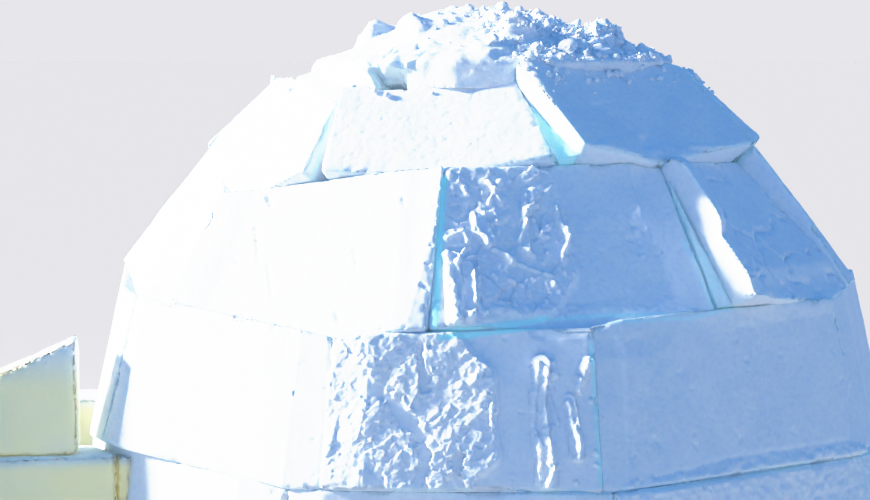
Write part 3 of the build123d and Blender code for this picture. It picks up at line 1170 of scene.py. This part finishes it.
# painted light: strokes along joints where a cyan shine is painted, as if daylight came through
MIDDLE_SLAB_GLOWS = strokes(
    (5, 1.0, 443, 180, 439, 250, 434, 328),
    (4, 0.8, 440, 334, 490, 328, 545, 321),
    (3, 0.45, 545, 321, 600, 317, 690, 316),
    (3, 0.3, 686, 236, 700, 270, 716, 309),
)
LOWER_SLAB_GLOWS = strokes(
    (4, 0.9, 440, 338, 490, 333, 545, 325),
    (3, 0.4, 545, 325, 600, 321),
    (2.6, 0.6, 591, 345, 596, 410, 601, 485),
)
RIGHT_SLAB_GLOWS = strokes(
    (4, 0.5, 596, 345, 600, 410, 604, 485),
    (3, 0.4, 600, 320, 690, 319, 745, 303),
)
UPPER_SLAB_GLOWS = strokes(
    (3.5, 0.6, 531, 98, 553, 161),
    (3.5, 0.45, 337, 100, 320, 150, 312, 185),
)
SLAB_LOOKS: dict[tuple[int, int], dict[str, object]] = {
    (1, 3): {"marks": LOWEST_SEAM_BAND},
    (1, 4): {"marks": LOWEST_SEAM_BAND},
    (2, 2): {"bends": strokes((60, -0.014, 326, 330, 318, 490))},
    (2, 3): {
        "marks": LOWER_SLAB_RIDGES,
        "tears": LOWER_SLAB_TEARS,
        "painted_glows": LOWER_SLAB_GLOWS,
        "bends": LOWER_SLAB_BENDS,
        "calms": LOWER_SLAB_CALMS,
    },
    (2, 4): {"marks": RIGHT_SLAB_BANDS, "painted_glows": RIGHT_SLAB_GLOWS, "bends": RIGHT_SLAB_BENDS},
    (3, 1): {"bends": strokes((36, -0.030, 222, 190, 172, 303))},
    (3, 2): {
        "face": Face.PITTED,
        "marks": MIDDLE_LEFT_SLAB_NOTCHES,
        "painted_glows": MIDDLE_LEFT_SLAB_GLOWS,
        "bends": MIDDLE_LEFT_SLAB_BENDS,
    },
    (3, 3): {
        "marks": MIDDLE_SLAB_MARKS,
        "tears": MIDDLE_SLAB_TEARS,
        "painted_glows": MIDDLE_SLAB_GLOWS,
        "bends": MIDDLE_SLAB_BENDS,
    },
    (3, 4): {"face": Face.DENTED, "marks": RIGHT_SLAB_EDGE, "bends": RIGHT_UPPER_SLAB_BENDS},
    (3, 7): {"face": Face.PITTED},
    (4, 1): {"face": Face.PITTED, "painted_glows": UPPER_SLAB_GLOWS, "crests": UPPER_LEFT_SLAB_CRESTS},
    (4, 2): {"face": Face.PITTED, "painted_glows": UPPER_SLAB_GLOWS, "crests": UPPER_LEFT_SLAB_CRESTS},
    (4, 3): {"marks": UPPER_RIGHT_SLAB_MARKS, "crests": strokes((34, 0.050, 560, 66, 660, 70))},
    (4, 6): {"face": Face.PITTED},
}


# Courses


@dataclass(frozen=True)
class JointPacking:
    """Snow pressed into a gaping joint by hand: lumpy, with light painted in as if daylight came through it
    from inside.
    """

    node: str
    # how much painted shine the packing has, standing in for daylight through it
    through: float
    fine: float = 0.009

    def build(self) -> Piece:
        """Makes the packing's mesh.

        Returns:
            The packing, not dressed yet.
        """
        mesh = SnowMesh.from_node(self.node).refine(Spacing(self.fine * QUICK_GROWTH))
        shift = 0.004 * CHIPS.layered(mesh.points, 0.04, 3) - 0.003
        mesh.points = mesh.points + mesh.point_normals() * shift[:, None]
        # painted light: a shine painted over the whole packing, standing in for daylight coming through
        mesh.values["painted_glow"] = self.through + 0.3 * SOFT.layered(mesh.points, 0.08, 2)
        return mesh.to_object(self.node.replace("chink", "packing"))


@dataclass(frozen=True)
class DomeCourses:
    """The five courses of slabs, and the snow packed where two joints gape."""

    counts: tuple[int, ...] = (8, 9, 8, 7, 5)
    shown: tuple[int, ...] = (4, 5, 5, 4, 3)
    unseen_wear: float = 0.016
    unseen_press: float = -0.003
    packings: tuple[JointPacking, ...] = (
        JointPacking("course_3_chink", 0.3),
        JointPacking("course_4_chink", 0.65),
    )

    def slab(self, course: int, place: int) -> SnowSlab:
        """Chooses one slab's face and marks, as they are in the picture.

        Args:
            course: its course, 1 at the ground.
            place: its number in the course.

        Returns:
            The slab, not built yet.
        """
        sawn = {"face": Face.SAWN} if (place + course) % 2 else {}
        slab = SnowSlab(f"course_{course}_block_{place}", **SLAB_LOOKS.get((course, place), sawn))
        slab.shown = place <= self.shown[course - 1]
        if not slab.shown:
            slab.wear, slab.press = self.unseen_wear, self.unseen_press
        return slab

    def build(self) -> list[Piece]:
        """Makes every slab of every course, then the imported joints.

        Returns:
            The pieces.
        """
        snow = BLOCK_SNOW.build()
        made = []
        for course, count in enumerate(self.counts, start=1):
            for place in range(1, count + 1):
                slab = self.slab(course, place)
                made.append(dress(slab.build(), snow, "block_snow", slab.node))
        packed = PACKED_SNOW.build()
        for packing in self.packings:
            made.append(dress(packing.build(), packed, "packed_snow", packing.node))
        return made


# Crown


def face_places(piece: Piece) -> tuple[Array, ...]:
    """The middles, normals and areas of a piece's faces."""
    faces = piece.data.polygons
    return tuple(np.array([getattr(face, name) for face in faces]) for name in ("center", "normal", "area"))


@dataclass(frozen=True)
class CrownSnow:
    """Loose snow heaped over the top: a rough mound with broken lumps in it and on it."""

    seed: int = 7
    large: int = 90
    middling: int = 520
    small: int = 2300
    fine: float = 0.0185
    quick_growth: float = 1.6
    turns: int = 18
    quick_turns: int = 7
    smooth_heights: Span = (1.59, 1.63)
    rough_heights: Span = (1.585, 1.61)
    top_heights: Span = (1.64, 1.70)
    rim_heights: Span = (1.586, 1.605)
    rim_radii: Span = (0.55, 0.62)
    sunk_rim: float = 0.022
    bare_columns: Span = (540, 600)
    bare_rows: Span = (58, 74)
    bare_inset: float = 0.07
    bare_drop: float = 0.022
    right_columns: Span = (480, 600)
    right_fall: float = 0.034
    left_columns: Span = (388, 412)
    left_fall: float = 0.032
    fall_heights: Span = (1.62, 1.74)
    lump_foot: float = 1.60
    middling_sizes: Span = (0.008, 0.016)
    small_sizes: Span = (0.004, 0.008)
    crumb_sizes: Span = (0.004, 0.016)
    crumb_heights: Span = (1.50, 1.62)
    crumb_radius: float = 0.72
    lit_crumbs: int = 7
    shaded_crumbs: int = 60
    shaded_slabs: tuple[int, ...] = (3, 4, 5)

    def mound(self) -> Piece:
        """Makes the mound itself, rounded and lumpy, with the vent left open in its edge.

        Returns:
            The mound, not dressed yet.
        """
        fine = self.fine * 1.0
        mesh = SnowMesh.from_node("crown_heap").refine(Spacing(fine))
        open_top = ramp(mesh.points[:, 2], *self.smooth_heights) * (1 - 0.6 * self.vent(mesh.points))
        mesh = mesh.smoothed(self.turns, 0.7 * open_top)
        p = mesh.points
        facing = mesh.point_normals()
        out = ramp(facing[:, 2], -0.3, 0.1) * ramp(p[:, 2], *self.rough_heights)
        out *= 1 - 0.5 * self.vent(p)
        on_top = ramp(p[:, 2], *self.top_heights)
        rough = 0.25 + 0.75 * self.shade_side(p)
        lumps = 0.018 * CHIPS.layered(p, 0.10, 3) + 0.026 * rough * (CRISP.ridged(p, 0.07, 3) - 0.55)
        lumps += 0.010 * rough * FLAKES.tilted(p, 0.04) * on_top + 0.004 * SOFT.layered(p, 0.03, 2)
        mesh.points = p + facing * (out * lumps * (0.55 + 0.45 * on_top))[:, None]
        rim = ramp(np.hypot(p[:, 0] - DOME_X, p[:, 1]), *self.rim_radii)
        rim *= 1 - ramp(p[:, 2], *self.rim_heights)
        mesh.points[:, 2] -= self.sunk_rim * rim
        self.settle(mesh.points)
        mesh.points = self.ragged(mesh.points)
        # painted light: a faint cyan shine painted at the vent's mouth
        mesh.values["painted_glow"] = 0.12 * self.vent(p)
        return mesh.to_object("crown_mound")

    def settle(self, points: Array) -> None:
        """Draws the mound in where the picture shows a bare edge, and lowers both its ends.

        Args:
            points: the mound's points, which are moved.
        """
        x, y = CAMERA.picture(points).T
        bare = ramp(x, *self.bare_columns) * ramp(y, *self.bare_rows) * (points[:, 1] < 0)
        points[:, :2] -= (points[:, :2] - [DOME_X, 0.0]) * (self.bare_inset * bare)[:, None]
        points[:, 2] -= self.bare_drop * bare
        fall = self.right_fall * ramp(x, *self.right_columns)
        fall += self.left_fall * (1 - ramp(x, *self.left_columns))
        points[:, 2] -= fall * ramp(points[:, 2], *self.fall_heights)

    @staticmethod
    def shade_side(points: Array) -> Array:
        """1 on the side away from the sun, where the snow is rough, and 0 on the sunny side."""
        return ramp(points[:, 0] - DOME_X, -0.25, 0.05)

    @staticmethod
    def vent(points: Array) -> Array:
        """Finds what lies at the vent's mouth.

        Args:
            points: the points, in metres.

        Returns:
            1 at the mouth and 0 away from it, for each point.
        """
        a = radians(VENT_AZIMUTH)
        mouth = np.array([DOME_X + VENT_RADIUS * sin(a), -VENT_RADIUS * cos(a), VENT_HEIGHT])
        apart = points - mouth
        across = np.abs(apart @ np.array([cos(a), sin(a), 0.0]))
        return (1 - ramp(across, 0.09, 0.15)) * (1 - ramp(np.linalg.norm(apart, axis=1), 0.16, 0.26))

    @classmethod
    def ragged(cls, points: Array) -> Array:
        """The points moved every way round the vent, so that its mouth is ragged."""
        pull = np.stack([noise.layered(points, 0.07, 2) for noise in PULLS], 1)
        return points + 0.045 * pull * cls.vent(points)[:, None]

    def lumps(self, mound: Piece) -> Piece:
        """Makes broken lumps of many sizes, half sunk in the mound.

        Args:
            mound: the finished mound.

        Returns:
            The lumps as one object, not dressed yet.
        """
        draw = np.random.default_rng(self.seed)
        centres, normals, areas = face_places(mound)
        usable = (normals[:, 2] > -0.2) & (centres[:, 2] > self.lump_foot) & (self.vent(centres) < 0.6)
        side = self.shade_side(centres)
        thick = np.maximum(side, 0.2 * ramp(centres[:, 2], *self.top_heights))
        chance = np.where(usable, areas * thick, 0.0)
        chance /= chance.sum()
        small = self.small // 1
        spots = draw.choice(len(centres), self.large + self.middling + small, p=chance)
        heap = LumpHeap(draw)
        for number, spot in enumerate(spots):
            if number < self.large:
                size = 0.014 + 0.022 * draw.uniform() ** 1.6
            elif number < self.large + self.middling:
                size = draw.uniform(*self.middling_sizes)
            else:
                size = draw.uniform(*self.small_sizes)
            size *= 0.55 + 0.55 * side[spot]
            heap.add(centres[spot] + normals[spot] * size * draw.uniform(-0.5, 0.35), size)
        return heap.to_object("crown_lumps")

    def crumbs(self) -> Piece:
        """Makes the crumbs that rolled off the heap and froze on the upper edges of the fourth course.

        Returns:
            The crumbs as one object, not dressed yet.
        """
        draw = np.random.default_rng(self.seed + 1)
        heap = LumpHeap(draw)
        for place in range(1, 8):
            centres, normals, areas = face_places(bpy.data.objects[f"course_4_slab_{place}"])
            radius = np.hypot(centres[:, 0] - DOME_X, centres[:, 1])
            top = ramp(centres[:, 2], *self.crumb_heights) * (radius > self.crumb_radius)
            chance = areas * top * (normals[:, 2] > 0.35)
            number = self.shaded_crumbs if place in self.shaded_slabs else self.lit_crumbs
            for spot in draw.choice(len(centres), number, p=chance / chance.sum()):
                size = draw.uniform(*self.crumb_sizes)
                heap.add(centres[spot] + normals[spot] * size * 0.35, size)
        return heap.to_object("crown_crumbs")

    def build(self) -> list[Piece]:
        """Makes the mound, its lumps and the crumbs beside it.

        Returns:
            The three pieces.
        """
        snow = LOOSE_SNOW.build()
        mound = dress(self.mound(), snow, "loose_snow", "crown_heap")
        lumps = dress(self.lumps(mound), snow, "loose_snow", "crown_heap")
        crumbs = dress(self.crumbs(), snow, "loose_snow", "crown_heap")
        return [mound, lumps, crumbs]


class LumpHeap:
    """Collects rough lumps of snow in one mesh."""

    def __init__(self, draw: np.random.Generator) -> None:
        """Starts empty.

        Args:
            draw: the generator that all its lumps are drawn from.
        """
        self.draw = draw
        self.points: list[Array] = []
        self.faces: list[Array] = []
        self.count = 0
        self.balls = [self._ball(divisions) for divisions in (1, 2, 3)]

    @staticmethod
    def _ball(divisions: int) -> tuple[Array, Array]:
        """Makes a ball to be broken up.

        Args:
            divisions: how finely it is divided.

        Returns:
            Its points and triangles.
        """
        shape = bmesh.new()
        bmesh.ops.create_icosphere(shape, subdivisions=divisions, radius=1.0)
        points = np.array([v.co for v in shape.verts])
        faces = np.array([[v.index for v in f.verts] for f in shape.faces])
        shape.free()
        return points, faces

    def add(self, centre: Array, size: float) -> None:
        """Adds one lump: a ball cut flat by a few random planes, then roughened.

        Args:
            centre: its middle.
            size: its half width in metres.
        """
        ball, faces = self.balls[2 if size > 0.02 else 1 if size > 0.009 else 0]
        p = ball.copy()
        for _ in range(8):
            normal = self.draw.normal(size=3)
            normal /= np.linalg.norm(normal)
            over = np.clip(p @ normal - self.draw.uniform(0.4, 0.8), 0, None)
            p -= over[:, None] * normal
        p *= self.draw.uniform(0.8, 1.35, 3) * size
        turn = Matrix.Rotation(self.draw.uniform(0, 6.28), 3, Vector(self.draw.normal(size=3)).normalized())
        p = p @ np.array(turn).T + centre
        p += 0.22 * size * np.stack([noise.plain(p / (0.7 * size)) for noise in DINTS], 1)
        self.points.append(p)
        self.faces.append(faces + self.count)
        self.count += len(p)

    def to_object(self, name: str) -> Piece:
        """Makes the one object.

        Args:
            name: the object's name.

        Returns:
            The object.
        """
        mesh = SnowMesh(np.concatenate(self.points), np.concatenate(self.faces))
        mesh.values["painted_glow"] = np.zeros(len(mesh.points))
        return mesh.to_object(name)


# Passage


@dataclass(frozen=True)
class EntrancePassage:
    """The low walls of the entrance passage, and the slab that stands on the near one."""

    fine: float = 0.024
    wear: float = 0.03
    # painted light: how strongly the blocks are painted to shine, and the height share where that fades
    slab_glow: Span = (0.85, 0.55)
    wall_glow: Span = (0.95, 0.85)
    nodes: tuple[str, ...] = (
        "passage_near_chock",
        "passage_near_base",
        "passage_near_slab",
        "passage_far_base",
    )

    def block(self, node: str) -> Piece:
        """Makes one block, with its edges worn round and its faces uneven.

        Args:
            node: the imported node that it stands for.

        Returns:
            The block, not dressed yet.
        """
        plain = SnowMesh.from_node(node)
        mesh = plain.refine(Spacing(self.fine * QUICK_GROWTH))
        edge = segment_distance(mesh.points, plain.sharp_edges())
        reach = self.wear * (1.1 + 0.7 * SOFT.layered(mesh.points, 0.15, 3))
        shift = rounded_off(edge, reach, 0.42, 0.004)
        shift += 0.006 * SOFT.layered(mesh.points, 0.25, 3) + 0.003 * CRISP.layered(mesh.points, 0.05, 3)
        shift *= ramp(mesh.points[:, 2], 0.0, 0.03)
        mesh.points = mesh.points + mesh.point_normals() * shift[:, None]
        mesh.stand_on_ground()
        height = mesh.points[:, 2]
        up = (height - height.min()) / (height.max() - height.min())
        # painted light: a cream shine painted strongest low down and fading upwards, as if the sun shone
        # through the blocks from behind
        through, fades_at = self.slab_glow if node == "passage_near_slab" else self.wall_glow
        painted_glow = through * (1 - ramp(up, fades_at, 1.0)) * (1 + 0.3 * SOFT.layered(mesh.points, 0.25, 3))
        mesh.values["painted_glow"] = np.clip(painted_glow, 0, 1)
        return mesh.to_object(node.replace("passage_", "passage_snow_"))

    def build(self) -> list[Piece]:
        """Makes the passage's blocks."""
        snow = PASSAGE_SNOW.build()
        return [dress(self.block(node), snow, "passage_snow", node) for node in self.nodes]


# Studio


@dataclass(frozen=True)
class Studio:
    """A plain pale floor, a low warm light from the left and cool light from all round."""

    key_azimuth: float = -102.3
    key_elevation: float = 22.0
    key_strength: float = 10.0
    key_softness: float = 7.0
    key_colour: Colour = (1.0, 0.90, 0.77)
    sky_colour: Colour = (0.12, 0.33, 0.72)
    bounce_colour: Colour = (0.75, 0.85, 1.0)
    horizon: float = 0.08
    backdrop: Colour = (0.80, 0.79, 0.835)
    floor_colour: Colour = (0.60, 0.56, 0.51)
    floor_radius: float = 6000.0
    brightest: float = 4.0
    roll_off: tuple[tuple[float, float], ...] = (
        (0.8, 0.8),
        (0.95, 0.91),
        (1.2, 0.96),
        (1.8, 0.985),
        (2.6, 0.995),
    )

    def floor(self) -> Piece:
        """Makes the floor: one large round sheet.

        Returns:
            The floor.
        """
        shape = bmesh.new()
        bmesh.ops.create_circle(shape, cap_ends=True, segments=256, radius=self.floor_radius)
        mesh = bpy.data.meshes.new("studio_floor")
        shape.to_mesh(mesh)
        shape.free()
        material, shader = new_material("studio_floor")
        matt = {"Base Color": (*self.floor_colour, 1.0), "Roughness": 1.0, "Specular IOR Level": 0.0}
        NodeBench(material.node_tree).feed(shader, matt)
        mesh.materials.append(material)
        floor = place_object("studio_floor", mesh)
        floor.visible_diffuse = False
        return floor

    def key_light(self) -> None:
        """Makes the low light from the left."""
        data = bpy.data.lights.new("key_light", "SUN")
        data.energy = self.key_strength
        data.color = self.key_colour
        data.angle = radians(self.key_softness)
        key = place_object("key_light", data)
        a, e = radians(self.key_azimuth), radians(self.key_elevation)
        towards = Vector((sin(a) * cos(e), -cos(a) * cos(e), sin(e)))
        key.rotation_mode = "QUATERNION"
        key.rotation_quaternion = towards.to_track_quat("Z", "Y")

    def sky(self) -> None:
        """Makes the sky that fills the shade, behind which the camera sees a plain backdrop."""
        world = bpy.data.worlds.new("studio")
        world.use_nodes = True
        fill = world.node_tree.nodes["Background"]
        bench = NodeBench(world.node_tree)
        height = bench.add("SeparateXYZ", {0: bench.add("TexCoord", {}, "Generated")}, "Z")
        share = bench.stretched(height, -self.horizon, self.horizon)
        bench.feed(fill, {"Color": bench.mix(share, (*self.bounce_colour, 1.0), (*self.sky_colour, 1.0))})
        shown = bench.add("Background", {"Color": (*self.backdrop, 1.0)})
        in_view = bench.add("LightPath", {}, "Is Camera Ray")
        both = bench.add("MixShader", {0: in_view, 1: fill.outputs[0], 2: shown})
        bench.feed(world.node_tree.nodes["World Output"], {"Surface": both})
        bpy.context.scene.world = world

    def shoulder(self) -> None:
        """Lets the brightest snow run softly into white, so that its marks still show."""
        view = bpy.context.scene.view_settings
        view.view_transform = "Standard"
        view.use_curve_mapping = True
        curves = view.curve_mapping
        curves.use_clip = False
        curves.white_level = (self.brightest,) * 3
        curve = curves.curves[3]
        curve.points[0].location = (0.0, 0.0)
        curve.points[1].location = (1.0, 1.0)
        for bright, shown in self.roll_off:
            curve.points.new(bright / self.brightest, shown)
        for point in curve.points:
            point.handle_type = "VECTOR"
        curves.update()

    def build(self) -> None:
        """Sets up the floor, the lights and how bright values are shown."""
        self.floor()
        self.key_light()
        self.sky()
        self.shoulder()


def main() -> None:
    """Builds the camera, the courses, the crown, the passage, the key block and the studio in order."""
    logging.basicConfig(level=logging.INFO, format="%(name)s: %(message)s")
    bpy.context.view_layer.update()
    CAMERA.build()
    pieces = DomeCourses().build() + CrownSnow().build() + EntrancePassage().build()
    snow = bpy.data.materials["block_snow"]
    pieces.append(dress(SnowSlab("key_block").build(), snow, "block_snow", "key_block"))
    Studio().build()
    log.info("%d triangles in all", sum(len(piece.data.polygons) for piece in pieces))


if __name__ == "__main__":
    main()
